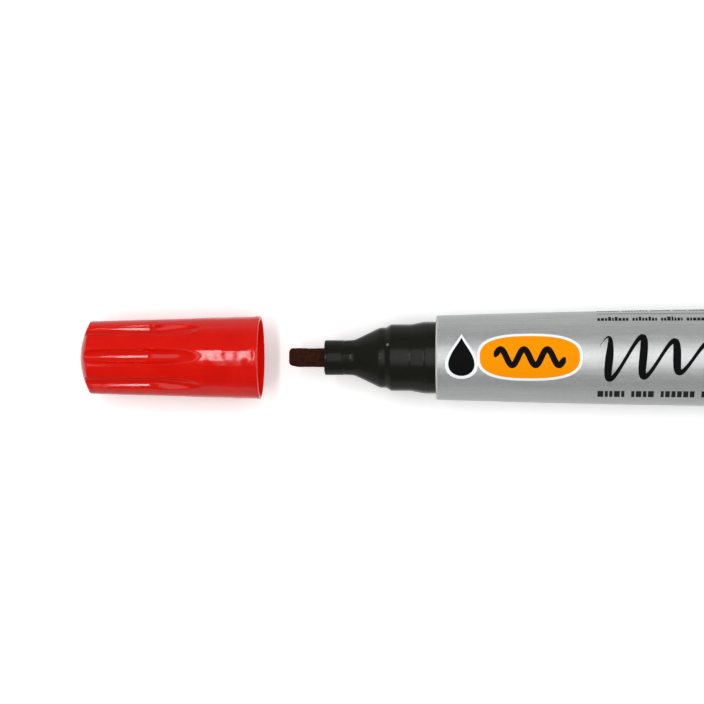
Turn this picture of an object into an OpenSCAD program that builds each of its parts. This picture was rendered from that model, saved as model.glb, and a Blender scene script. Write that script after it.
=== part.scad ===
// Felt tip marker with a pull-off cap, lying on its side with the cap off.
//
// Every turned piece is drawn as an outline of [radius, z] points. z runs along the marker's
// axis from the barrel's front edge: negative towards the nib, positive towards the tail.
// The finished part lies along X, nib towards -X, and its origin is the centre of the flat tail.

/* [Barrel] */
// Barrel length, front edge to rear edge
barrel_len = 102; // [98:1:108]
// Largest outer radius, which the grip band has
barrel_r = 8.95; // [8.85:0.05:9.15]
// Outer radius at the front edge
barrel_front_r = 7.72; // [7.66:0.02:7.8]
// Where the grip band starts, from the front edge
grip_start = 76; // [70:1:78]
// Length of the grip band, a true cylinder that a holder can clamp
grip_len = 20; // [12:1:20]
// Wall behind the grip band
barrel_wall = 1.2; // [1:0.1:1.4]
// Number of inner ribs that centre the ink reservoir
rib_count = 6; // [3:1:8]

/* [Nose] */
// Radius of the nose where it enters the barrel
nose_r = 6.6; // [6.5:0.02:6.6]
// How far the nose reaches in front of the barrel
nose_len = 20.5; // [20:0.1:21]
// Radius of the tip tube that holds the nib
tip_r = 3.25; // [3.15:0.05:3.25]
// Depth of the nose's plug inside the barrel
nose_plug_len = 10; // [8:0.5:10]

/* [Nib and reservoir] */
// Nib radius
nib_r = 1.75; // [1.5:0.05:1.75]
// Nib length in front of the nose
nib_out = 6.6; // [5:0.1:7]
// Reservoir fibre radius
core_r = 5.4; // [5:0.1:5.4]
// Reservoir length
core_len = 86; // [70:1:86]

/* [Cap] */
// Outer radius at the mouth
cap_mouth_r = 7.64; // [7.6:0.02:7.7]
// Outer radius at the closed end, before the dome
cap_end_r = 6.8; // [6.7:0.05:6.9]
// Length from the mouth to the edge of the dome
cap_len = 31.4; // [31:0.1:32]
// Height of the domed end
dome_h = 1.9; // [1:0.1:2.2]
// Number of finger flutes
flute_count = 8; // [6:1:8]
// Depth of the finger flutes
flute_depth = 0.97; // [0.5:0.01:1]
// Radius of a flute's round floor
flute_r = 1.65; // [1.2:0.05:1.8]
// How far the flutes turn from straight up, in degrees
flute_turn = 4; // [0:1:22]
// How far the cap slides from where it lies to fully home
cap_travel = 32.2; // [32:0.1:40]

/* [Tail] */
// Thickness of the tail plug's visible flange
tail_flange = 3; // [2.5:0.1:4]

/* [Hidden] */
$fn = 96;

fit = 0.02;              // radial gap of a piece pushed into another
slide_fit = 0.06;        // radial gap of the cap on the nose
eps = 0.01;              // overrun of a cutter past the face it opens

body_len = barrel_len + tail_flange;
grip_end = grip_start + grip_len;
rear_drop = 0.2;         // how much the barrel narrows behind the grip band
bore_r = barrel_r - barrel_wall;
seat_r = nose_r + fit;
stop_h = 0.3;            // step in the bore that stops the nose's plug

neck_r = 5.54;           // reduced neck behind the nose's cone
land_r = 6.12;           // land between the neck and the flare
nib_tip_z = -nose_len - nib_out;
nib_rear_z = 6.5;
tube_r = 2.9;            // inner tube that holds the nib
tube_end_z = -3;
wrap_wall = 0.1;
wrap_r = core_r + fit + wrap_wall;

cap_gap = 0.15;          // gap between the cap's mouth and the barrel when home
mouth_z = -cap_gap - cap_travel;
cap_bore_r = nose_r + slide_fit;
cap_core_r = 4.7;        // inner radius of the cap where its flutes are
cap_floor_z = -30.5;     // inner face of the cap's closed end, from the mouth
flute_bend = -20.2;      // where a flute's floor starts to rise, from the mouth
flute_rise = 9.1;        // length over which it rises to the surface
seal_r = tip_r + 0.08;   // inner cap's bore around the tip tube

skirt_len = 9;           // depth of the tail plug inside the barrel
pusher_r = 4;            // tail plug's tube that holds the reservoir forward
pusher_gap = 0.2;        // gap between that tube and the reservoir

// Points of a circular arc about [cr, cz], from angle a0 to angle a1.
function arc(cr, cz, r, a0, a1, n = 8) =
    [for (i = [0:n]) let (a = a0 + (a1 - a0) * i / n) [cr + r * cos(a), cz + r * sin(a)]];

// Barrel radius at z in front of the grip band: an arc that meets the band smoothly.
function belly_r(z) =
    let (rise = barrel_r - barrel_front_r, radius = (grip_start ^ 2 + rise ^ 2) / (2 * rise))
    barrel_r - radius + sqrt(radius ^ 2 - (grip_start - z) ^ 2);

// Cap radius at w from the mouth, negative towards the closed end.
function cap_r(w) = cap_mouth_r + (cap_mouth_r - cap_end_r) * w / cap_len;

// Solid of revolution from an outline of [radius, z] points.
module turned(outline) {
    rotate_extrude() polygon(outline);
}

// Puts pieces drawn along +Z onto the marker's axis, tail face at the origin.
module on_axis(z = 0) {
    translate([z - body_len, 0, 0]) rotate([0, 90, 0]) children();
}

// Tube of outer radius r and inner radius r_in between two z values.
module tube(r, r_in, z0, z1) {
    turned([[r_in, z0], [r, z0], [r, z1], [r_in, z1]]);
}

// ---- barrel ----

module barrel_outside() {
    edge = 0.35;
    steps = 14;
    turned(concat(
        [[0, 0], [barrel_front_r - edge, 0]],
        arc(barrel_front_r - edge + 0.02, edge, edge, -90, 0, 6),
        [for (i = [1:steps]) let (z = grip_start * i / steps) [belly_r(z), z]],
        [[barrel_r, grip_end], [barrel_r - rear_drop, barrel_len], [0, barrel_len]]));
}

module barrel_bore() {
    turned([[0, -1], [seat_r, -1], [seat_r, nose_plug_len + eps],
            [seat_r - stop_h, nose_plug_len + eps], [bore_r, grip_start],
            [bore_r, barrel_len + 1], [0, barrel_len + 1]]);
}

// Ribs that stop short of the reservoir and run between the nose and the tail plug.
module barrel_ribs() {
    rib_t = 0.8;
    rib_h = 3;           // past the wall's inner face, which trims it
    z0 = nose_plug_len + 2;
    z1 = barrel_len - skirt_len - 3;
    for (i = [0:rib_count - 1])
        rotate(360 * i / rib_count)
            translate([wrap_r + slide_fit, -rib_t / 2, z0]) cube([rib_h, rib_t, z1 - z0]);
}

module barrel() {
    color([0.72, 0.73, 0.73]) on_axis() difference() {
        barrel_outside();
        difference() {
            barrel_bore();
            barrel_ribs();
        }
    }
}

// ---- nose ----

module nose_outside() {
    edge = 0.2;
    front_r = tip_r - 0.07;
    cone_z = -15.5;
    bead_z = -17.6;
    bead_r = tip_r + 0.05;
    bead_half = 0.25;
    turned(concat(
        [[0, -nose_len], [front_r - edge, -nose_len], [front_r, edge - nose_len]],
        [[tip_r, bead_z - bead_half], [bead_r, bead_z], [tip_r, bead_z + bead_half]],
        [[tip_r, cone_z], [neck_r - 0.15, -10.7], [neck_r, -10.1], [neck_r, -9.2]],
        [[land_r, -8.3], [land_r, -5], [nose_r, -2.1]],
        [[nose_r, nose_plug_len - 0.5], [nose_r - 0.4, nose_plug_len], [0, nose_plug_len]]));
}

// Air channels that run along the nib, so that air can replace the ink.
module vent_channels() {
    channel_r = 0.3;
    count = 3;
    for (i = [0:count - 1])
        rotate(360 * i / count) translate([nib_r + 0.1, 0, -nose_len - 1])
            cylinder(r = channel_r, h = nose_len + tube_end_z + 2, $fn = 32);
}

module nose_section() {
    color([0.09, 0.09, 0.09]) on_axis() difference() {
        nose_outside();
        translate([0, 0, -nose_len - 1]) cylinder(r = nib_r + fit, h = nose_len);
        vent_channels();
        turned([[tube_r, -13], [4.3, -9.8], [5, -8.5], [5.1, tube_end_z + eps],
                [tube_r, tube_end_z + eps]]);
        translate([0, 0, tube_end_z])
            cylinder(r = wrap_r + 0.04, h = nose_plug_len - tube_end_z + 1);
    }
}

// ---- nib and reservoir ----

module nib() {
    round_r = 0.7;
    point_r = 0.9;
    point_len = 1.4;
    color([0.2, 0.06, 0.04]) on_axis() turned(concat(
        [[0, nib_tip_z]],
        arc(nib_r - round_r, nib_tip_z + round_r, round_r, -90, 0, 6),
        [[nib_r, nib_rear_z - point_len], [point_r, nib_rear_z], [0, nib_rear_z]]));
}

// Fibre rod, with the blind hole that the nib's rear end presses into it.
module reservoir_core() {
    color([0.55, 0.06, 0.05]) on_axis() difference() {
        cylinder(r = core_r, h = core_len);
        translate([0, 0, -1]) cylinder(r = nib_r + fit, h = nib_rear_z + 1.1);
    }
}

module reservoir_wrap() {
    color([0.9, 0.88, 0.86, 0.6]) on_axis() tube(wrap_r, core_r + fit, 0, core_len);
}

// ---- tail plug ----

module end_plug() {
    edge = 0.5;
    flange_r = barrel_r - rear_drop;
    skirt_r = bore_r - fit;
    skirt_wall = 1;
    floor_z = body_len - 1.4;
    skirt_z = barrel_len - skirt_len;
    pusher_wall = 1;
    color([0.82, 0.08, 0.06]) on_axis() union() {
        difference() {
            turned(concat(
                [[0, skirt_z], [skirt_r - 0.4, skirt_z], [skirt_r, skirt_z + 0.8]],
                [[skirt_r, barrel_len], [flange_r, barrel_len]],
                arc(flange_r - edge, body_len - edge, edge, 0, 90, 6),
                [[0, body_len]]));
            translate([0, 0, skirt_z - 1])
                cylinder(r = skirt_r - skirt_wall, h = floor_z - skirt_z + 1);
        }
        tube(pusher_r, pusher_r - pusher_wall, core_len + pusher_gap, floor_z + 0.5);
    }
}

// ---- cap, drawn with its mouth at z = 0 and its closed end towards -z ----

module cap_outside() {
    edge = 0.12;
    dome_radius = (cap_end_r ^ 2 + dome_h ^ 2) / (2 * dome_h);
    half_angle = asin(cap_end_r / dome_radius);
    turned(concat(
        arc(0, dome_radius - cap_len - dome_h, dome_radius, -90, half_angle - 90, 8),
        [[cap_mouth_r, -edge], [cap_mouth_r - edge, 0], [0, 0]]));
}

module cap_inside() {
    turned([[0, 1], [cap_bore_r + 0.3, 1], [cap_bore_r + 0.3, -0.1], [cap_bore_r, -1.3],
            [cap_bore_r, -9.5], [cap_core_r, -13], [cap_core_r, cap_floor_z], [0, cap_floor_z]]);
}

// A flute keeps its depth along the cap's side, then narrows and rises until it runs out.
module flute() {
    start_z = -cap_len - 3;
    axis_out = flute_r - flute_depth;
    taper = atan2(cap_r(0) - cap_r(start_z), -start_z);
    straight_len = flute_bend - start_z;
    past_tip = 1.2;
    translate([cap_r(start_z) + axis_out, 0, start_z]) rotate([0, taper, 0]) turned([
        [0, 0], [flute_r, 0], [flute_r, straight_len],
        [flute_r - past_tip * flute_depth, straight_len + past_tip * flute_rise],
        [0, straight_len + past_tip * flute_rise]]);
}

module cap_shell() {
    color([0.82, 0.08, 0.06]) on_axis(mouth_z) difference() {
        cap_outside();
        cap_inside();
        for (i = [0:flute_count - 1])
            rotate(180 - flute_turn + 360 * i / flute_count) flute();
    }
}

// Soft cup that seals round the tip tube and keeps the nib wet.
module inner_cap() {
    outer_r = cap_core_r - fit;
    waist_r = 4.1;
    lip_z = -15.8;
    lip_t = 1.2;
    base_t = 1;
    base_z = cap_floor_z + fit;
    color([0.9, 0.89, 0.86]) on_axis(mouth_z) turned([
        [0, base_z], [outer_r, base_z], [outer_r, base_z + 3], [waist_r, base_z + 3.6],
        [waist_r, lip_z - lip_t - 0.6], [outer_r, lip_z - lip_t], [outer_r, lip_z],
        [seal_r + 0.5, lip_z], [seal_r, lip_z - 0.7],
        [seal_r, base_z + base_t], [0, base_z + base_t]]);
}

barrel();
nose_section();
nib();
reservoir_core();
reservoir_wrap();
end_plug();
cap_shell();
inner_cap();
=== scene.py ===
import math
import random

import bmesh
import bpy
import numpy as np
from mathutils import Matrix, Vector, noise


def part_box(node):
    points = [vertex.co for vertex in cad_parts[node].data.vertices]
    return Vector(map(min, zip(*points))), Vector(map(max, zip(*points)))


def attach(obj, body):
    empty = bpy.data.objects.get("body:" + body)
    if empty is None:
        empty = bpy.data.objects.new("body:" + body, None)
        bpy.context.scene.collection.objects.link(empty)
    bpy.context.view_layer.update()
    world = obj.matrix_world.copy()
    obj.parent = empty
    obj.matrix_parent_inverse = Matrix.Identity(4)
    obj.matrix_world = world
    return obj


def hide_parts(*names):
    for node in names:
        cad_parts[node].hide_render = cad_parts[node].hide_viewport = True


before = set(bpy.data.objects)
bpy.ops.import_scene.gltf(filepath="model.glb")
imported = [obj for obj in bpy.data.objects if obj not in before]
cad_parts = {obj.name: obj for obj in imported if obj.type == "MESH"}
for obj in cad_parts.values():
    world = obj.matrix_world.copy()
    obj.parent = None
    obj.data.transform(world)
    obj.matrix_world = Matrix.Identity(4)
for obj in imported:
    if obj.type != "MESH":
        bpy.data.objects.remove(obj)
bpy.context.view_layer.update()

# Lengths are in millimetres until a mesh is made. x runs along the marker, nib towards -x.
# Angles go round the axis: 0 is up (+z) and 90 degrees is +y.
MM = 0.001
SEGMENTS = 320


def ends(name):
    """Lowest and highest x of a CAD node."""
    low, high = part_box(name)
    return low.x / MM, high.x / MM


def radius(name):
    """Largest radius of a CAD node."""
    low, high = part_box(name)
    return (high.z - low.z) / 2 / MM


SHOULDER, BARREL_REAR = ends("barrel")
NOSE_FRONT, NOSE_REAR = ends("nose_section")
NIB_TIP, NIB_REAR = ends("nib")
CAP_END, CAP_MOUTH = ends("cap_shell")
PLUG_FRONT, TAIL = ends("end_plug")
CUP_FLOOR, CUP_LIP = ends("inner_cap")

BARREL_R = radius("barrel")
BARREL_FRONT_R = 7.72
BARREL_WALL = 1.2
GRIP_START = SHOULDER + 76        # from here the barrel is a cylinder
GRIP_END = GRIP_START + 20
REAR_R = BARREL_R - 0.2

NIB_R = radius("nib")
NIB_HOLE_R = NIB_R + 0.03
NIB_HOLE_END = NOSE_FRONT + 3     # behind this nothing of the nib or its hole can be seen

CAP_R = radius("cap_shell")
CAP_BORE_R = 6.66
CAP_MOUTH_R = 6.98                # the bore opens out to this at the mouth
CUP_SEAT_R = 4.72                 # and narrows to this where the seal cup sits


# ---- meshes ----

def rounded(corners, steps=7):
    """Outline through corners (x, r), where a corner (x, r, fillet) becomes a tangent arc."""
    outline = []
    for i, corner in enumerate(corners):
        point = np.array(corner[:2], float)
        if len(corner) < 3:
            outline.append(tuple(point))
            continue
        fillet = corner[2]
        to_last = np.array(corners[i - 1][:2], float) - point
        to_next = np.array(corners[(i + 1) % len(corners)][:2], float) - point
        u, v = to_last / np.linalg.norm(to_last), to_next / np.linalg.norm(to_next)
        half = math.acos(np.clip(u @ v, -1, 1)) / 2
        middle = (u + v) / np.linalg.norm(u + v)
        centre = point + middle * fillet / math.sin(half)
        reach = fillet / math.tan(half)
        first, last = point + u * reach - centre, point + v * reach - centre
        turn = math.atan2(first[0] * last[1] - first[1] * last[0], first @ last)
        start = math.atan2(first[1], first[0])
        for k in range(steps + 1):
            a = start + turn * k / steps
            outline.append((centre[0] + fillet * math.cos(a), centre[1] + fillet * math.sin(a)))
    return outline


def finer(outline, step):
    """The same outline with points at most step apart."""
    out = [outline[0]]
    for (x0, r0), (x1, r1) in zip(outline, outline[1:]):
        n = max(1, math.ceil(math.hypot(x1 - x0, r1 - r0) / step))
        out += [(x0 + (x1 - x0) * k / n, r0 + (r1 - r0) * k / n) for k in range(1, n + 1)]
    return out


def finish_mesh(name, points, faces, sharp=40):
    """An object from points in millimetres, with outward normals and smooth shading.

    Edges that turn by more than sharp degrees stay crisp."""
    mesh = bpy.data.meshes.new(name)
    mesh.from_pydata((np.asarray(points, float) * MM).tolist(), [], faces)
    build = bmesh.new()
    build.from_mesh(mesh)
    bmesh.ops.recalc_face_normals(build, faces=build.faces)
    build.to_mesh(mesh)
    build.free()
    mesh.shade_smooth()
    mesh.set_sharp_from_angle(angle=math.radians(sharp))
    made = bpy.data.objects.new(name, mesh)
    bpy.context.scene.collection.objects.link(made)
    return made


def lathe(name, outline, shape=None, ring=False, segments=SEGMENTS, sharp=40):
    """A mesh turned about the x axis from an outline of (x, r) points.

    shape(x, r, angle) returns a new x and r for arrays of points. ring joins the outline's ends;
    otherwise they lie on the axis."""
    x, r = np.array(outline, float).T
    angle = np.arange(segments) * 2 * math.pi / segments
    x, r, angle = (a.copy() for a in np.broadcast_arrays(x[:, None], r[:, None], angle[None]))
    if shape:
        x, r = shape(x, r, angle)
    grid = np.stack([x, r * np.sin(angle), r * np.cos(angle)], -1)
    points, index = [], []
    for line, (_, size) in zip(grid, outline):
        if size < 1e-6:
            index.append([len(points)] * segments)
            points.append(line.mean(0))
        else:
            index.append(list(range(len(points), len(points) + segments)))
            points.extend(line)
    faces = []
    rows = list(zip(index, index[1:])) + ([(index[-1], index[0])] if ring else [])
    for one, two in rows:
        for j in range(segments):
            k = (j + 1) % segments
            corners = [one[j], one[k], two[k], two[j]]
            faces.append(list(dict.fromkeys(corners)))
    return finish_mesh(name, points, faces, sharp)


def from_nearest(angle, count, first):
    """Angle from the nearest of count even places round the axis, one of which is at first."""
    pitch = 2 * math.pi / count
    return (angle - first + pitch / 2) % pitch - pitch / 2


def lumps(x, r, angle, along, across, shift=0.0):
    """Smooth noise from -1 to 1 at each point, with about this many lumps a millimetre each way."""
    y, z = r * np.sin(angle), r * np.cos(angle)
    points = zip((x * along).ravel(), (y * across).ravel(), (z * across + shift).ravel())
    return np.reshape([noise.noise(Vector(at)) for at in points], x.shape)


def smooth_min(a, b, k):
    """The smaller of a and b, with the corner between them rounded over k."""
    h = np.clip(k - np.abs(a - b), 0, None) / k
    return np.minimum(a, b) - h * h * k / 4


# ---- barrel ----

def belly(x):
    """Outer radius of the barrel at x: an arc that meets the cylindrical grip band."""
    length, rise = GRIP_START - SHOULDER, BARREL_R - BARREL_FRONT_R
    arc = (length ** 2 + rise ** 2) / (2 * rise)
    ahead = np.clip(GRIP_START - np.asarray(x, float), 0, None)
    return BARREL_R - arc + np.sqrt(arc ** 2 - ahead ** 2)


def build_barrel():
    """A tapered tube: front edge, outside, rear edge, then the bore and the nose's seat."""
    seat_r, seat_end = 6.62, SHOULDER + 10
    bore_r = BARREL_R - BARREL_WALL
    outside = [(x, float(belly(x))) for x in np.linspace(SHOULDER + 0.6, GRIP_START, 60)]
    front = rounded([(SHOULDER, seat_r), (SHOULDER, BARREL_FRONT_R, 0.36), outside[0]])[:-1]
    rear = rounded([(GRIP_END, BARREL_R), (BARREL_REAR, REAR_R, 0.12), (BARREL_REAR, bore_r),
                    (GRIP_START, bore_r), (seat_end, seat_r - 0.3), (seat_end, seat_r)])
    return lathe("barrel_body", front + finer(outside + rear, 2.0), ring=True)


# ---- print on the barrel ----

LAYER = 0.012                     # how far each layer of ink stands over the one below


def wrapped(x, s, height):
    """Points at height over the barrel, s millimetres round from the top towards +y."""
    r = belly(x) + height
    a = s / belly(x)
    return np.stack([x, r * np.sin(a), r * np.cos(a)], -1)


def decal(name, patches, height, depth=0.02):
    """Thin closed shells that follow the barrel, one from each grid of (x, s) places.

    They stand height over the barrel and reach depth into it."""
    points, faces = [], []
    for patch in patches:
        patch = np.asarray(patch, float)
        n, m = patch.shape[:2]
        base = len(points)
        for h in (height, -depth):
            points.extend(wrapped(patch[..., 0], patch[..., 1], h).reshape(-1, 3))
        for side in (0, n * m):
            for i in range(n - 1):
                for j in range(m - 1):
                    a = base + side + i * m + j
                    faces.append([a, a + 1, a + m + 1, a + m])
        rim = ([(i, 0) for i in range(n)] + [(n - 1, j) for j in range(1, m)]
               + [(i, m - 1) for i in range(n - 2, -1, -1)] + [(0, j) for j in range(m - 2, 0, -1)])
        for (i, j), (next_i, next_j) in zip(rim, rim[1:] + rim[:1]):
            a, b = base + i * m + j, base + next_i * m + next_j
            faces.append([a, b, b + n * m, a + n * m])
    return finish_mesh(name, points, faces, sharp=50)


def pill(x, s, half_x, half_s, n=64, m=26, power=2.6):
    """A rounded lozenge about (x, s)."""
    end_gap = 0.02
    t = -np.cos(np.linspace(end_gap, math.pi - end_gap, n))
    reach = half_s * (1 - np.abs(t) ** power) ** (1 / power)
    across = np.linspace(-1, 1, m)
    return np.stack([np.broadcast_to(x + half_x * t[:, None], (n, m)),
                     s + reach[:, None] * across[None]], -1)


def drop(x, s, lobe, half_s, n=40, m=16):
    """An ink drop with its point towards +s. lobe is a little less than half its width."""
    end_gap, blunt, point, fullness = 0.004, 0.5, 0.75, 1.72
    t = np.linspace(end_gap, 1 - end_gap, n)
    width = lobe * np.sin(math.pi * t) ** blunt * (1 - t) ** point * fullness
    across = np.linspace(-1, 1, m)
    return np.stack([x + width[:, None] * across[None],
                     np.broadcast_to(s - half_s + 2 * half_s * t[:, None], (n, m))], -1)


def ribbon(centre, width, m=4):
    """A stroke along a line of (x, s) places, with its width at each."""
    centre, width = np.asarray(centre, float), np.asarray(width, float)
    along = np.gradient(centre, axis=0)
    along /= np.linalg.norm(along, axis=1)[:, None]
    normal = np.stack([-along[:, 1], along[:, 0]], -1)
    across = np.linspace(-0.5, 0.5, m)
    return centre[:, None] + normal[:, None] * (width[:, None, None] * across[None, :, None])


def brush_wave(x, s, length, height, waves, thick, n=220):
    """A hand-drawn wave: thick going down, thin going up, with tapered ends."""
    start, fading, wobble, wobbles = 0.6, 0.35, 0.12, 9
    lean, thinnest, end_width, end_slope = 0.35, 0.42, 0.12, 14
    t = np.linspace(0, 1, n)
    phase = 2 * math.pi * waves * t + start
    rise = height / 2 * (1 - fading * t + wobble * np.sin(wobbles * t)) * np.sin(phase)
    falling = 0.5 - 0.5 * np.cos(phase)
    taper = np.clip(np.minimum(t, 1 - t) * end_slope, end_width, 1)
    line = np.stack([x + length * t + lean * rise, s + rise], -1)
    return ribbon(line, thick * (thinnest + (1 - thinnest) * falling) * taper)


def plain_wave(x, s, length, height, waves, thick, n=160):
    """An even wave with rounded ends."""
    end_width, end_slope = 0.1, 40
    t = np.linspace(0, 1, n)
    line = np.stack([x + length * t, s + height / 2 * np.sin(2 * math.pi * waves * t)], -1)
    ends_round = np.clip(np.minimum(t, 1 - t) * end_slope, end_width, 1) ** 0.5
    return ribbon(line, thick * ends_round)


def bar(x0, x1, s, height):
    """A straight block from x0 to x1, s round from the top."""
    x = np.linspace(x0, x1, max(2, math.ceil((x1 - x0) / 2) + 1))
    return ribbon(np.stack([x, np.full_like(x, s)], -1), np.full_like(x, height), m=5)


def block_row(dice, x0, x1, s, height, letter, gap, low=1.0):
    """A row of small blocks in groups, which stands for a line of small print.

    low is how tall most of the blocks are, as a share of the tallest."""
    between_groups = 2.6 * gap + 0.3 * letter
    blocks, x = [], x0
    while x < x1:
        for _ in range(dice.randint(3, 9)):
            width = letter * dice.uniform(0.55, 1.15)
            if x + width > x1:
                return blocks
            tall = height * (1 if dice.random() < 0.25 else low)
            blocks.append(bar(x, x + width, s - (height - tall) / 2, tall))
            x += width + gap
        x += between_groups
    return blocks


def print_rows(x, end):
    """The bold row below the stroke, and the rows of small blocks above it."""
    dice = random.Random(7)
    fine_rows, fine_s, fine_pitch, most_short = 5, 12.2, 1.7, 14
    bold = block_row(dice, x, end - 8, s=-7.5, height=1.7, letter=0.95, gap=0.26)
    small = block_row(dice, x, end, s=8.25, height=1.25, letter=0.55, gap=0.15, low=0.7)
    for row in range(fine_rows):
        row_end = end - dice.uniform(0, most_short)
        small += block_row(dice, x, row_end, s=fine_s + fine_pitch * row, height=0.9,
                           letter=0.42, gap=0.13, low=0.7)
    return bold, small


def build_print():
    """The printed marks with their inks: a badge, an ink drop, a brush stroke and plain rows."""
    badge_x, badge_s, half_x, half_s, border = SHOULDER + 17.0, 0.1, 9.0, 3.95, 0.5
    drop_x, lobe = SHOULDER + 4.7, 2.0
    text_x, text_end, rule_s = SHOULDER + 29.2, SHOULDER + 70, 10.2
    white = [pill(badge_x, badge_s, half_x + border, half_s + border),
             drop(drop_x, 0.3, lobe + border, 4.3)]
    wave = plain_wave(badge_x - 6.3, badge_s, length=12.6, height=2.9, waves=3, thick=1.1)
    stroke = brush_wave(SHOULDER + 28.8, 0.0, length=33.2, height=7.6, waves=5.5, thick=1.45)
    bold, small = print_rows(text_x, text_end)
    marks = [
        ("print_badge_edge", white, 1, "print_white"),
        ("print_drop", [drop(drop_x, 0.2, lobe, 3.6)], 2, "print_black"),
        ("print_badge", [pill(badge_x, badge_s, half_x, half_s)], 2, "print_amber"),
        ("print_badge_wave", [wave], 3, "print_black"),
        ("print_brush_stroke", [stroke], 1, "print_black"),
        ("print_bold_row", bold, 1, "print_grey"),
        ("print_small_rows", small, 1, "print_grey"),
        ("print_rule", [bar(text_x, text_end, rule_s, 0.16)], 1, "print_grey"),
    ]
    return [(decal(name, patches, layers * LAYER), finish)
            for name, patches, layers, finish in marks]


# ---- nose and nib ----

def air_channels(x, r, angle):
    """Cuts the air channels in the wall of the nib's hole near its mouth."""
    channels, channel_r = 3, 0.3
    sweep = np.abs(np.sin(from_nearest(angle, channels, math.pi))) * NIB_R
    cut = NIB_R + 0.1 + np.sqrt(np.clip(channel_r ** 2 - sweep ** 2, 0, None))
    near = (r < NIB_HOLE_R + 0.2) & (x < NIB_HOLE_END + 0.1) & (sweep < channel_r)
    return x, np.where(near, np.maximum(r, cut), r)


def build_nose():
    """Outside from the tip back to the barrel's seat, then the nib's hole."""
    tip_r, neck_r, land_r, seat_r = 3.25, 5.53, 6.12, 6.6
    bead, groove = SHOULDER - 17.0, SHOULDER - 1.94
    tip = [(NOSE_FRONT, NIB_HOLE_R + 0.12), (NOSE_FRONT, tip_r - 0.02, 0.24),
           (bead - 0.22, tip_r - 0.02, 0.2), (bead - 0.1, tip_r + 0.03, 0.1),
           (bead + 0.02, tip_r - 0.1, 0.03), (bead + 0.14, tip_r - 0.05, 0.1),
           (SHOULDER - 15.1, tip_r, 3)]
    neck = [(SHOULDER - 10.35, neck_r + 0.01, 1.7), (SHOULDER - 9.25, neck_r, 0.25)]
    land = [(SHOULDER - 8.3, land_r, 0.22), (SHOULDER - 4.7, land_r + 0.01, 4)]
    seat = [(SHOULDER - 2.3, seat_r - 0.02, 0.35), (groove - 0.08, seat_r, 0.05),
            (groove, seat_r - 0.05, 0.03), (groove + 0.08, seat_r, 0.05),
            (NOSE_REAR - 0.4, seat_r, 0.3), (NOSE_REAR, seat_r - 0.4)]
    hole = [(NOSE_REAR, NIB_HOLE_R), (NIB_HOLE_END, NIB_HOLE_R), (NOSE_FRONT + 0.1, NIB_HOLE_R)]
    outline = finer(rounded(tip + neck + land + seat + hole), 0.35)
    return lathe("nose_body", outline, air_channels, ring=True)


def build_gate_mark():
    """The small stub that is left on the neck where the plastic was fed in."""
    x, turn, seat_r = SHOULDER - 8.7, math.radians(23.5), 5.9
    stub_r, sunk, edge_height, height, rings = 0.26, 0.1, 0.1, 0.13, 24
    seat = Vector((x, seat_r * math.sin(turn), seat_r * math.cos(turn)))
    up = Vector((0, math.sin(turn), math.cos(turn)))
    side = Vector((0, math.cos(turn), -math.sin(turn)))
    along = Vector((1, 0, 0))
    profile = rounded([(stub_r, -sunk), (stub_r, edge_height, 0.07), (0, height)], steps=4)[:-1]
    points = [seat + up * h + (along * math.cos(a) + side * math.sin(a)) * r
              for r, h in profile for a in np.arange(rings) * 2 * math.pi / rings]
    points += [seat + up * height, seat - up * sunk]
    top, foot = len(points) - 2, len(points) - 1
    last = (len(profile) - 1) * rings
    faces = []
    for j in range(rings):
        k = (j + 1) % rings
        faces += [[i + j, i + k, i + rings + k, i + rings + j] for i in range(0, last, rings)]
        faces += [[last + j, last + k, top], [k, j, foot]]
    return finish_mesh("nose_gate_mark", [tuple(p) for p in points], faces)


def felt_surface(x, r, angle):
    """Wears away the -y side of the tip and roughens what stands out of the nose."""
    wear, wear_reach, fibre_height, tuft_height, inset = 0.42, 2.4, 0.045, 0.05, 0.035
    y, z = r * np.sin(angle), r * np.cos(angle)
    fibres = lumps(x, r, angle, along=0.55, across=5.5)
    tufts = lumps(x, r, angle, along=1.6, across=1.6, shift=9)
    rough = fibre_height * fibres + tuft_height * tufts - inset
    near_tip = np.clip(1 - (x - NIB_TIP) / wear_reach, 0, 1) ** 2
    worn_side = np.clip((-y - 0.5 * np.abs(z)) / NIB_R, 0, 1)
    r = r - wear * near_tip * worn_side * r / NIB_R
    outside = (x < NIB_HOLE_END) & (r > 0.02)
    on_side = np.clip(r / NIB_R, 0, 1) ** 3
    free = np.clip((NOSE_FRONT - x) / 0.5, 0, 1)
    r = r + np.where(outside, rough * on_side * free, 0)
    x = x + np.where(outside, 0.06 * tufts * (1 - on_side), 0)
    return np.maximum(x, NIB_TIP), r


def build_nib():
    """A felt rod with a worn, slightly crowned tip and fibres along it."""
    crown, edge, rear_bevel, rear_r = 0.12, 0.62, 1.4, 0.9
    corners = [(NIB_TIP, 0), (NIB_TIP + crown * 0.3, NIB_R * 0.5), (NIB_TIP + crown, NIB_R, edge),
               (NIB_HOLE_END, NIB_R), (NIB_REAR - rear_bevel, NIB_R), (NIB_REAR, rear_r),
               (NIB_REAR, 0)]
    outline = rounded(corners, steps=14)
    front = finer([p for p in outline if p[0] <= NIB_HOLE_END], 0.09)
    back = [p for p in outline if p[0] > NIB_HOLE_END]
    return lathe("nib_felt", front + back, felt_surface, segments=240, sharp=80)


# ---- cap and its seal cup ----

DOME = 1.9                        # how far the closed end bulges
CAP_RIM = CAP_END + DOME
CAP_RIM_R = 6.8
FLUTES = 8
FLUTE_TURN = math.radians(2)      # the flute nearest the top leans this far towards +y
FLUTE_R = 1.40                    # radius of a flute's round floor
FLUTE_DEPTH = 1.28                # where the floor starts to sweep up
FLUTE_SLOPE = 0.0315              # how fast it gets shallower from there to the closed end
FLUTE_BEND = CAP_MOUTH - 20.1
FLUTE_TIP = CAP_MOUTH - 10.8


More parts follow.
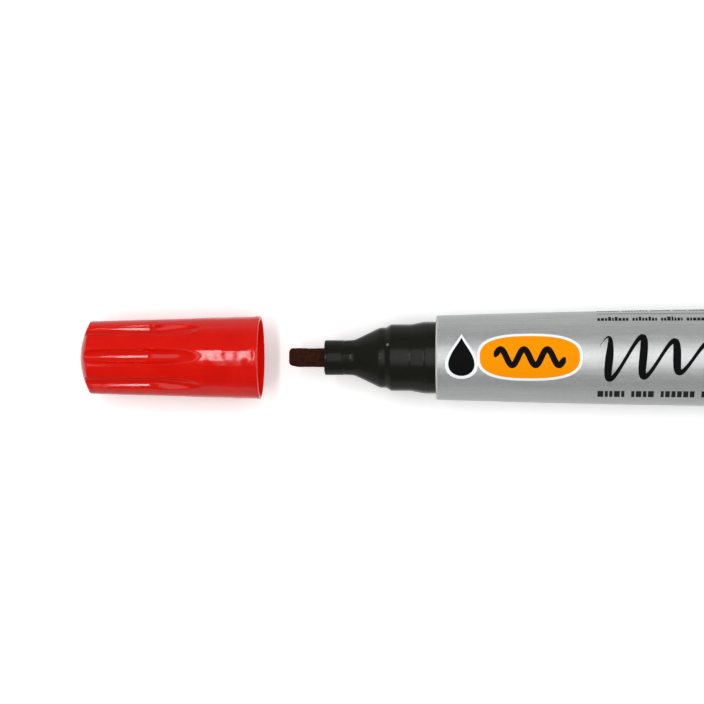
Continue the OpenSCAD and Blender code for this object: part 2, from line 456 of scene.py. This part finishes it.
def cap_side(x):
    """Outer radius of the cap beside its flutes at x."""
    return CAP_R - (CAP_R - CAP_RIM_R) / (CAP_MOUTH - CAP_RIM) * (CAP_MOUTH - x)


def cap_outline():
    """Outside from the closed end to the mouth, then the rounded mouth and the stepped bore.

    Also how many of the points are outside."""
    dome_radius = (CAP_RIM_R ** 2 + DOME ** 2) / (2 * DOME)
    dome_x = CAP_END + dome_radius
    dome = [(dome_x - dome_radius * math.cos(a), dome_radius * math.sin(a))
            for a in np.linspace(0, math.asin(CAP_RIM_R / dome_radius), 44)]
    side = [(x, cap_side(x)) for x in np.linspace(CAP_RIM, CAP_MOUTH, 140)]
    rim = rounded([dome[-4], dome[-1] + (0.34,), side[4]])
    outside = dome[:-4] + rim + side[5:-4]
    inside = rounded([side[-4], (CAP_MOUTH, CAP_R, 0.16), (CAP_MOUTH, CAP_MOUTH_R, 0.1),
                      (CAP_MOUTH - 1.3, CAP_BORE_R, 0.6), (CAP_MOUTH - 9.5, CAP_BORE_R, 0.5),
                      (CAP_MOUTH - 13, CUP_SEAT_R, 0.5), (CUP_FLOOR - 0.05, CUP_SEAT_R),
                      (CUP_FLOOR - 0.05, 0)])
    return outside + finer(inside, 1.0), len(outside)


def flute_floor(x, angle):
    """Radius of the nearest flute's floor, or one past every surface where there is no flute."""
    no_flute = 99
    off = from_nearest(angle, FLUTES, FLUTE_TURN)
    swept = np.clip((x - FLUTE_BEND) / (FLUTE_TIP - FLUTE_BEND), 0, None)
    depth = FLUTE_DEPTH * (1 - swept ** 2) - FLUTE_SLOPE * np.clip(FLUTE_BEND - x, 0, None)
    centre = cap_side(x) + FLUTE_R - depth
    across = centre * np.sin(off)
    floor = centre * np.cos(off) - np.sqrt(np.clip(FLUTE_R ** 2 - across ** 2, 0, None))
    return np.where(np.abs(across) < FLUTE_R, floor, no_flute)


def sunken(x, r, angle):
    """How far the moulding has shrunk in here and there, most of all behind the mouth."""
    lump_size, depth, everywhere, reach, edge = 2.2, 0.045, 0.03, 14, 1.5
    uneven = 1 + lumps(x, r, angle, 1 / lump_size, 1 / lump_size)
    behind_mouth = np.clip(1 - (CAP_MOUTH - x) / reach, 0, 1)
    off_edge = np.clip((CAP_MOUTH - x) / edge, 0, 1)
    return depth * uneven * (everywhere + behind_mouth) * off_edge


def build_cap():
    """The fluted cap with its domed end, open at the mouth."""
    outline, outside_points = cap_outline()

    def shape(x, r, angle):
        """Cuts the flutes and sinks the surface, on the outside only."""
        outside = (np.arange(len(outline)) < outside_points)[:, None] & (r > 1)
        cut = smooth_min(r, flute_floor(x, angle), 0.2) - sunken(x, r, angle)
        return x, np.where(outside, cut, r)

    return lathe("cap_body", outline, shape, segments=FLUTES * 48, sharp=75)


def build_cup():
    """The soft cup inside the cap that seals round the tip tube."""
    seal_r, outer_r, waist_r, floor = 3.33, 4.68, 4.1, 1
    corners = [(CUP_FLOOR, 0), (CUP_FLOOR, outer_r, 0.2), (CUP_FLOOR + 3, outer_r, 0.2),
               (CUP_FLOOR + 3.6, waist_r, 0.3), (CUP_LIP - 1.8, waist_r, 0.3),
               (CUP_LIP - 1.2, outer_r, 0.2), (CUP_LIP, outer_r, 0.2),
               (CUP_LIP, seal_r + 0.5, 0.2), (CUP_LIP - 0.7, seal_r, 0.2),
               (CUP_FLOOR + floor, seal_r, 0.4), (CUP_FLOOR + floor, 0)]
    return lathe("cap_seal_cup", finer(rounded(corners), 1.5), segments=160)


# ---- tail plug ----

def build_plug():
    """The flange that shows behind the barrel, with its skirt inside."""
    flange_x, flange_wall = BARREL_REAR + 0.04, 1.4
    skirt_r, skirt_wall = BARREL_R - BARREL_WALL - 0.02, 1.0
    corners = [(TAIL, 0), (TAIL, REAR_R, 0.5), (flange_x, REAR_R, 0.1),
               (flange_x, skirt_r), (PLUG_FRONT + 0.8, skirt_r),
               (PLUG_FRONT, skirt_r - 0.4), (PLUG_FRONT, skirt_r - skirt_wall),
               (TAIL - flange_wall, skirt_r - skirt_wall), (TAIL - flange_wall, 0)]
    return lathe("tail_plug", finer(rounded(corners), 1.5))


# ---- materials ----

def node(tree, kind, inputs=None, **settings):
    """Adds a shader node. An input that is given a socket is linked to it."""
    made = tree.nodes.new("ShaderNode" + kind)
    for key, value in settings.items():
        setattr(made, key, value)
    for key, value in (inputs or {}).items():
        set_input(tree, made, key, value)
    return made


def set_input(tree, made, key, value):
    """Links a socket to a node's input, or sets the input to a value."""
    if isinstance(value, bpy.types.NodeSocket):
        tree.links.new(value, made.inputs[key])
    else:
        made.inputs[key].default_value = value


def new_material(name, **inputs):
    """A material with a Principled shader. Inputs are named with _ for each space."""
    material = bpy.data.materials.new(name)
    material.use_nodes = True
    tree = material.node_tree
    shader = tree.nodes["Principled BSDF"]
    for key, value in inputs.items():
        set_input(tree, shader, key.replace("_", " "), value)
    return material, tree, shader


def places(tree, stretch=(1, 1, 1)):
    """The place on the piece in millimetres, divided by stretch."""
    at = node(tree, "TexCoord").outputs["Object"]
    scale = [1 / MM / s for s in stretch]
    return node(tree, "Mapping", {"Vector": at, "Scale": scale}).outputs["Vector"]


def part_of(tree, vector, axis):
    """One of X, Y and Z of a vector."""
    return node(tree, "SeparateXYZ", {"Vector": vector}).outputs[axis]


def maths(tree, operation, one, two):
    """The result of one operation on two values."""
    return node(tree, "Math", {0: one, 1: two}, operation=operation).outputs["Value"]


def grain(tree, size, stretch=(1, 1, 1), detail=3.0, rough=0.55):
    """Noise from 0 to 1 whose lumps are about size millimetres."""
    return node(tree, "TexNoise", {"Vector": places(tree, stretch), "Scale": 1 / size,
                                   "Detail": detail, "Roughness": rough}).outputs["Fac"]


def scaled(tree, value, low, high, start=0.0, end=1.0):
    """Maps start..end to low..high, without going past them."""
    return node(tree, "MapRange", {"Value": value, "From Min": start, "From Max": end,
                                   "To Min": low, "To Max": high}).outputs["Result"]


def mixed(tree, factor, one, two):
    """Colour one where factor is 0 and two where it is 1."""
    return node(tree, "Mix", {0: factor, 6: one, 7: two}, data_type="RGBA").outputs[2]


def bump(tree, shader, layers):
    """Stacks bumps, each a (height socket, height in millimetres)."""
    normal = None
    for height, size in layers:
        inputs = {"Height": height, "Distance": size * MM, "Strength": 1.0}
        if normal:
            inputs["Normal"] = normal
        normal = node(tree, "Bump", inputs).outputs["Normal"]
    set_input(tree, shader, "Normal", normal)


def off_bore(tree):
    """0 in the open end of the cap's bore, 1 on the rest of the cap and on the tail plug."""
    across = node(tree, "VectorMath", {0: places(tree), 1: (0, 1, 1)}, operation="MULTIPLY")
    out = node(tree, "VectorMath", {0: across.outputs["Vector"]}, operation="LENGTH")
    level = scaled(tree, out.outputs["Value"], 0, 1, CAP_MOUTH_R + 0.1, CAP_MOUTH_R + 0.2)
    x = part_of(tree, places(tree), "X")
    for start, end in ((FLUTE_TIP + 0.5, FLUTE_TIP), (CAP_MOUTH + 1, CAP_MOUTH + 2)):
        level = maths(tree, "MAXIMUM", level, scaled(tree, x, 0, 1, start, end))
    return level


def red_plastic():
    """Glossy moulded plastic: slightly wavy, with flow lines, fine scratches and scuffs.

    In the open end of the cap's bore it is plain and matt, with a brighter, more saturated colour
    painted in for light that comes through the thin wall."""
    material, tree, shader = new_material("red_plastic", IOR=1.49, Subsurface_Weight=0.12,
                                          Subsurface_Scale=0.0012,
                                          Subsurface_Radius=(1.0, 0.12, 0.06))
    outside = off_bore(tree)
    cloud = scaled(tree, grain(tree, 5.0), 0, 1, 0.35, 0.65)
    colour = mixed(tree, cloud, (0.66, 0.0034, 0.0003, 1), (0.72, 0.0060, 0.0010, 1))
    # Painted light: the bore gets a brighter red that stands in for light shining through the thin
    # wall.
    set_input(tree, shader, "Base Color", mixed(tree, outside, (0.95, 0.0030, 0.0003, 1), colour))
    scratches = grain(tree, 0.12, stretch=(14, 1, 1), detail=2)
    near_mouth = scaled(tree, part_of(tree, places(tree), "X"), 0, 1, CAP_MOUTH - 9, CAP_MOUTH - 2)
    specks = scaled(tree, grain(tree, 0.3, detail=2), 0, 0.16, 0.5, 0.62)
    scuffs = maths(tree, "MULTIPLY", specks, near_mouth)
    worn = maths(tree, "ADD", scaled(tree, scratches, 0.05, 0.16, 0.45, 0.8), scuffs)
    set_input(tree, shader, "Roughness", scaled(tree, outside, 0.5, worn))
    set_input(tree, shader, "Specular IOR Level", scaled(tree, outside, 0.04, 0.5))
    bump(tree, shader, [(grain(tree, 2.2, detail=1), 0.004),
                        (grain(tree, 0.5, stretch=(6, 1, 1), detail=1), 0.0012),
                        (scaled(tree, scratches, 0, 1, 0.62, 0.8), 0.0010),
                        (scuffs, 0.003)])
    return material


def black_plastic():
    """Satin moulded plastic with a fine grain and flow lines, worn smoother on the tip tube."""
    material, tree, shader = new_material("black_plastic", IOR=1.47, Specular_IOR_Level=0.27)
    colour = mixed(tree, grain(tree, 3.0), (0.0088, 0.0091, 0.0066, 1), (0.0118, 0.0121, 0.0092, 1))
    set_input(tree, shader, "Base Color", colour)
    fine = grain(tree, 0.09, detail=2)
    x = part_of(tree, places(tree), "X")
    satin = scaled(tree, x, 0, 0.08, SHOULDER - 14, SHOULDER - 12)
    polish = scaled(tree, fine, 0.09, 0.14, 0.3, 0.7)
    set_input(tree, shader, "Roughness", maths(tree, "ADD", polish, satin))
    bump(tree, shader, [(grain(tree, 0.35, stretch=(0.5, 6, 6), detail=1), 0.0016),
                        (fine, 0.0004)])
    return material


def pale_rough_plastic():
    """Black plastic coloured pale grey and made rough."""
    material, tree, shader = new_material("pale_rough_plastic", IOR=1.47, Roughness=0.7)
    fine = grain(tree, 0.08)
    # Pale grey colour for the small stub on the neck.
    colour = mixed(tree, fine, (0.07, 0.07, 0.065, 1), (0.22, 0.22, 0.21, 1))
    set_input(tree, shader, "Base Color", colour)
    bump(tree, shader, [(fine, 0.01)])
    return material


def silver_lacquer():
    """Metallic lacquer: flakes that catch the light one by one, and bare plastic at the front rim."""
    material, tree, shader = new_material("silver_lacquer", IOR=1.5)
    cell = node(tree, "TexVoronoi", {"Vector": places(tree), "Scale": 1 / 0.16},
                feature="F1").outputs["Color"]
    flake = node(tree, "SeparateColor", {"Color": cell}).outputs["Red"]
    colour = mixed(tree, flake, (0.69, 0.70, 0.70, 1), (0.81, 0.82, 0.82, 1))
    streak = scaled(tree, grain(tree, 0.3, stretch=(50, 1, 1), detail=2), 0, 0.22, 0.4, 0.75)
    colour = mixed(tree, streak, colour, (0.44, 0.45, 0.45, 1))
    x = part_of(tree, places(tree), "X")
    bare = scaled(tree, x, 1, 0, SHOULDER + 0.26, SHOULDER + 0.34)
    set_input(tree, shader, "Base Color", mixed(tree, bare, colour, (0.60, 0.59, 0.54, 1)))
    set_input(tree, shader, "Metallic", scaled(tree, bare, 0.75, 0.0))
    set_input(tree, shader, "Roughness", scaled(tree, flake, 0.30, 0.65))
    bump(tree, shader, [(flake, 0.0035), (grain(tree, 0.7, detail=2), 0.003)])
    return material


def inked_felt():
    """Bonded fibres soaked in ink: nearly black, redder where the ink has dried."""
    material, tree, shader = new_material("inked_felt", IOR=1.4, Specular_IOR_Level=0.12)
    fibre = grain(tree, 0.10, stretch=(7, 1, 1), detail=3)
    patch = grain(tree, 0.8, detail=2)
    colour = mixed(tree, scaled(tree, patch, 0, 1, 0.38, 0.68), (0.018, 0.0072, 0.0042, 1),
                   (0.048, 0.0095, 0.0050, 1))
    colour = mixed(tree, scaled(tree, fibre, 0, 0.55, 0.5, 0.8), colour, (0.075, 0.020, 0.010, 1))
    set_input(tree, shader, "Base Color", colour)
    set_input(tree, shader, "Roughness", scaled(tree, fibre, 0.62, 0.95, 0.3, 0.7))
    bump(tree, shader, [(fibre, 0.05), (patch, 0.04)])
    return material


def ink(name, colour):
    """Printed ink: matt, thin and a little uneven."""
    material, tree, shader = new_material(name, IOR=1.5, Specular_IOR_Level=0.03)
    speckle = grain(tree, 0.14, detail=2)
    darker = [c * 0.92 for c in colour] + [1]
    uneven = mixed(tree, scaled(tree, speckle, 0, 0.6, 0.5, 0.75), list(colour) + [1], darker)
    set_input(tree, shader, "Base Color", uneven)
    set_input(tree, shader, "Roughness", scaled(tree, speckle, 0.5, 0.65))
    bump(tree, shader, [(speckle, 0.0025)])
    return material


def natural_plastic():
    """Uncoloured, waxy plastic."""
    material, tree, shader = new_material("natural_plastic", Base_Color=(0.78, 0.77, 0.73, 1),
                                          IOR=1.5, Subsurface_Weight=0.3, Subsurface_Scale=0.002)
    fine = grain(tree, 0.3)
    set_input(tree, shader, "Roughness", scaled(tree, fine, 0.42, 0.58))
    bump(tree, shader, [(fine, 0.003)])
    return material


def reservoir_fibre():
    """Ink-soaked fibre bundle, lengthwise strands."""
    material, tree, shader = new_material("reservoir_fibre", IOR=1.4)
    strand = grain(tree, 0.14, stretch=(12, 1, 1), detail=3)
    colour = mixed(tree, strand, (0.36, 0.012, 0.010, 1), (0.50, 0.030, 0.024, 1))
    set_input(tree, shader, "Base Color", colour)
    set_input(tree, shader, "Roughness", scaled(tree, strand, 0.7, 0.95))
    bump(tree, shader, [(strand, 0.06)])
    return material


def clear_film():
    """Thin wrap round the reservoir, slightly creased along its length."""
    material, tree, shader = new_material("clear_film", Base_Color=(0.82, 0.8, 0.78, 1), IOR=1.45,
                                          Alpha=0.5)
    crease = grain(tree, 0.8, stretch=(9, 1, 1), detail=1)
    set_input(tree, shader, "Roughness", scaled(tree, crease, 0.12, 0.3))
    bump(tree, shader, [(crease, 0.03)])
    return material


# ---- the object ----

FINISHES = {
    "red_plastic": red_plastic(),
    "black_plastic": black_plastic(),
    "pale_rough_plastic": pale_rough_plastic(),
    "silver_lacquer": silver_lacquer(),
    "inked_felt": inked_felt(),
    "natural_plastic": natural_plastic(),
    "reservoir_fibre": reservoir_fibre(),
    "clear_film": clear_film(),
    "print_white": ink("print_white", (0.92, 0.95, 0.97)),
    "print_black": ink("print_black", (0.0055, 0.0055, 0.006)),
    "print_grey": ink("print_grey", (0.022, 0.022, 0.023)),
    "print_amber": ink("print_amber", (0.98, 0.31, 0.0005)),
}


def add_piece(piece, body, finish, cad_node=None):
    """Gives a piece its material and body, and hides the CAD node that it stands for."""
    piece.data.materials.append(FINISHES[finish])
    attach(piece, body)
    if cad_node:
        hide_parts(cad_node)


add_piece(build_barrel(), "marker", "silver_lacquer", "barrel")
add_piece(build_nose(), "marker", "black_plastic", "nose_section")
add_piece(build_gate_mark(), "marker", "pale_rough_plastic")
add_piece(build_nib(), "marker", "inked_felt", "nib")
add_piece(build_plug(), "marker", "red_plastic", "end_plug")
add_piece(build_cap(), "cap", "red_plastic", "cap_shell")
add_piece(build_cup(), "cap", "natural_plastic", "inner_cap")
for piece, finish in build_print():
    add_piece(piece, "marker", finish)

for name, finish in (("reservoir_core", "reservoir_fibre"), ("reservoir_wrap", "clear_film")):
    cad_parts[name].data.materials.clear()
    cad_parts[name].data.materials.append(FINISHES[finish])


# ---- floor, light and camera ----

FLOOR_Z = -BARREL_R - 0.05
PANEL_Z = 600.0
STRIP_X, STRIP_Y = -238, -7.5
STRIP_SIZE = (22, 445)


def add_plane(name, centre, size, material, turn=0.0):
    """A level rectangle, which isn't part of the object. turn leans its long side towards -x."""
    half_x, half_y = size[0] / 2, size[1] / 2
    lean = math.tan(turn)
    corners = [(centre[0] + i * half_x - j * half_y * lean, centre[1] + j * half_y, centre[2])
               for i, j in ((-1, -1), (1, -1), (1, 1), (-1, 1))]
    mesh = bpy.data.meshes.new(name)
    mesh.from_pydata((np.array(corners) * MM).tolist(), [], [[0, 1, 2, 3]])
    mesh.materials.append(material)
    made = bpy.data.objects.new(name, mesh)
    bpy.context.scene.collection.objects.link(made)
    return made


def empty_tree(holder):
    """The node tree of a material or world, without any nodes."""
    holder.use_nodes = True
    holder.node_tree.nodes.clear()
    return holder.node_tree


def grey(level):
    """A colour of this brightness."""
    return (level, level, level, 1)


def glow(name, strength, fade=None):
    """An emitting material. fade is (y, y, strength) over which it changes to another strength."""
    material = bpy.data.materials.new(name)
    tree = empty_tree(material)
    level = strength
    if fade:
        start, end, other = fade
        y = part_of(tree, places(tree), "Y")
        level = node(tree, "MapRange", {"Value": y, "From Min": start, "From Max": end,
                                        "To Min": other, "To Max": strength},
                     interpolation_type="SMOOTHSTEP").outputs["Result"]
    light = node(tree, "Emission", {"Strength": level})
    node(tree, "OutputMaterial", {"Surface": light.outputs["Emission"]})
    return material


def floor_paper(seen, lit, mirrored, mirrored_below):
    """White paper with one brightness for the camera, one as a bounce light, two in reflections.

    mirrored_below is for reflections that look straight down on it."""
    material = bpy.data.materials.new("floor_paper")
    tree = empty_tree(material)
    path = node(tree, "LightPath")
    facing = node(tree, "NewGeometry").outputs["Incoming"]
    steep = scaled(tree, part_of(tree, facing, "Z"), 0, 1, 0.7, 0.95)
    reflection = mixed(tree, steep, grey(mirrored), grey(mirrored_below))
    colour = mixed(tree, path.outputs["Is Glossy Ray"], grey(lit), reflection)
    colour = mixed(tree, path.outputs["Is Camera Ray"], colour, grey(seen))
    paper = node(tree, "BsdfDiffuse", {"Color": colour, "Roughness": 0.5})
    node(tree, "OutputMaterial", {"Surface": paper.outputs["BSDF"]})
    return material


def room(soft, mirrored, lean, mirrored_lean):
    """Light from all round, cooler and stronger from +y. lean is how much stronger.

    Reflections show it with a strength and lean of their own, and with a glow near the horizon."""
    world = bpy.data.worlds.new("room")
    tree = empty_tree(world)
    direction = node(tree, "TexCoord").outputs["Generated"]
    side = scaled(tree, part_of(tree, direction, "Y"), 0, 1, -1, 1)
    colour = mixed(tree, side, (1.0, 1.0, 0.975, 1), (0.965, 0.99, 1.0, 1))
    horizon_glow = scaled(tree, part_of(tree, direction, "Z"), 0.14, 0, 0, 0.35)
    all_round = scaled(tree, side, soft * (1 - lean), soft * (1 + lean))
    reflected = scaled(tree, side, mirrored * (1 - mirrored_lean), mirrored * (1 + mirrored_lean))
    reflected = maths(tree, "ADD", reflected, horizon_glow)
    both = node(tree, "MixShader", {"Fac": node(tree, "LightPath").outputs["Is Glossy Ray"]})
    for i, strength in enumerate((all_round, reflected)):
        light = node(tree, "Background", {"Color": colour, "Strength": strength})
        set_input(tree, both, 1 + i, light.outputs["Background"])
    node(tree, "OutputWorld", {"Surface": both.outputs["Shader"]})
    return world


def add_panels():
    """Soft panels overhead and a bright strip for the long highlight, all unseen by the camera."""
    top = add_plane("top_panel", (144, 12, PANEL_Z), (632, 644),
                    glow("panel_glow", 1.5, fade=(-310, -90, 0.75)))
    end = add_plane("end_panel", (-400, 0, PANEL_Z), (190, 620), glow("end_glow", 1.2))
    strip = add_plane("lamp_strip", (STRIP_X, STRIP_Y, PANEL_Z - 1), STRIP_SIZE,
                      glow("strip_glow", 12.5, fade=(-110, -50, 1.2)), turn=math.radians(1.3))
    for made in (top, end, strip):
        made.visible_camera = False
    strip.visible_diffuse = False


def add_key_light():
    """Lights the matt surfaces as the strip would, and shows in no reflection."""
    data = bpy.data.lights.new("key_light", "AREA")
    data.shape = "RECTANGLE"
    data.size, data.size_y = (length * MM for length in STRIP_SIZE)
    data.energy = 1.0
    key = bpy.data.objects.new("key_light", data)
    key.location = Vector((STRIP_X, STRIP_Y, PANEL_Z - 2)) * MM
    key.visible_glossy = False
    key.visible_camera = False
    bpy.context.scene.collection.objects.link(key)


def add_camera(place, tilt, lens):
    """A camera that looks down, tilted about the y axis by tilt degrees."""
    data = bpy.data.cameras.new("camera")
    data.lens = lens
    data.clip_end = 10
    camera = bpy.data.objects.new("camera", data)
    camera.location = Vector(place) * MM
    camera.rotation_euler = (0, math.radians(tilt), 0)
    bpy.context.scene.collection.objects.link(camera)
    bpy.context.scene.camera = camera


paper = floor_paper(seen=1.3, lit=0.8, mirrored=0.48, mirrored_below=1.1)
add_plane("floor", (0, 0, FLOOR_Z), (6000, 6000), paper)
add_panels()
add_key_light()
add_camera(place=(-90.7, 1.03, 480.0), tilt=3.556, lens=133.9)

scene = bpy.context.scene
scene.world = room(soft=0.58, mirrored=0.11, lean=0.26, mirrored_lean=0.35)
scene.view_settings.view_transform = "Standard"
scene.view_settings.look = "None"
